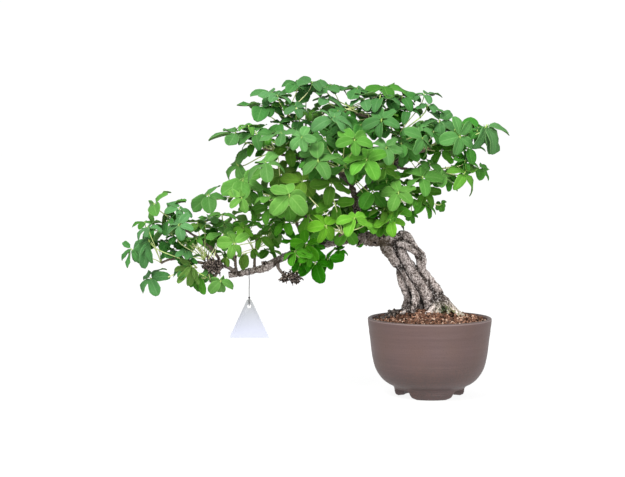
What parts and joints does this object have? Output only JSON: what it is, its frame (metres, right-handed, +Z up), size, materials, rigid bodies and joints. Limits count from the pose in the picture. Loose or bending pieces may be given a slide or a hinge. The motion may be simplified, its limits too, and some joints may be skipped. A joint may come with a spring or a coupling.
{
  "type": "chocolate vine bonsai",
  "caption": "Potted five-leaf akebia trained as a leaning tree: gnarled trunk, long side limb with a hanging tag, sprays of five-part leaves, round footed pot with soil",
  "frame": {"origin": "On the ground under the middle of the bounding box of pot and plant, the hanging tag left out; the feet of the pot stand on z = 0", "axes": "+Z up; +X runs along the limb from its far tip towards the pot, the pot stands at positive X; +Y points away from the front view"},
  "size_m": [0.505, 0.2264, 0.4048],
  "materials": {
    "stoneware": "matte",
    "drain_mesh": "matte",
    "soil": "matte",
    "bark": "matte",
    "leaf": "satin",
    "tag": "satin",
    "string": "matte"
  },
  "bodies": {
    "root": {"pot": "stoneware", "drain_mesh": "drain_mesh", "soil": "soil", "trunk": "bark", "spray_left_tip": "leaf", "spray_left_top": "leaf", "spray_left_under": "leaf", "spray_left_inner": "leaf", "spray_shoulder_low": "leaf", "spray_shoulder_mid": "leaf", "spray_top_left": "leaf", "spray_crown": "leaf", "spray_centre": "leaf", "spray_crown_right": "leaf", "spray_right_top": "leaf", "spray_right_mid": "leaf", "spray_right_low": "leaf", "spray_low_front": "leaf", "spray_low_left": "leaf", "spray_low_right": "leaf", "spray_back_tip": "leaf", "spray_back_left": "leaf", "spray_back_shoulder": "leaf", "spray_back_low": "leaf", "spray_back_crown": "leaf", "spray_back_centre": "leaf", "spray_back_right": "leaf", "tag": "tag", "tag_string": "string"}
  },
  "joints": []
}
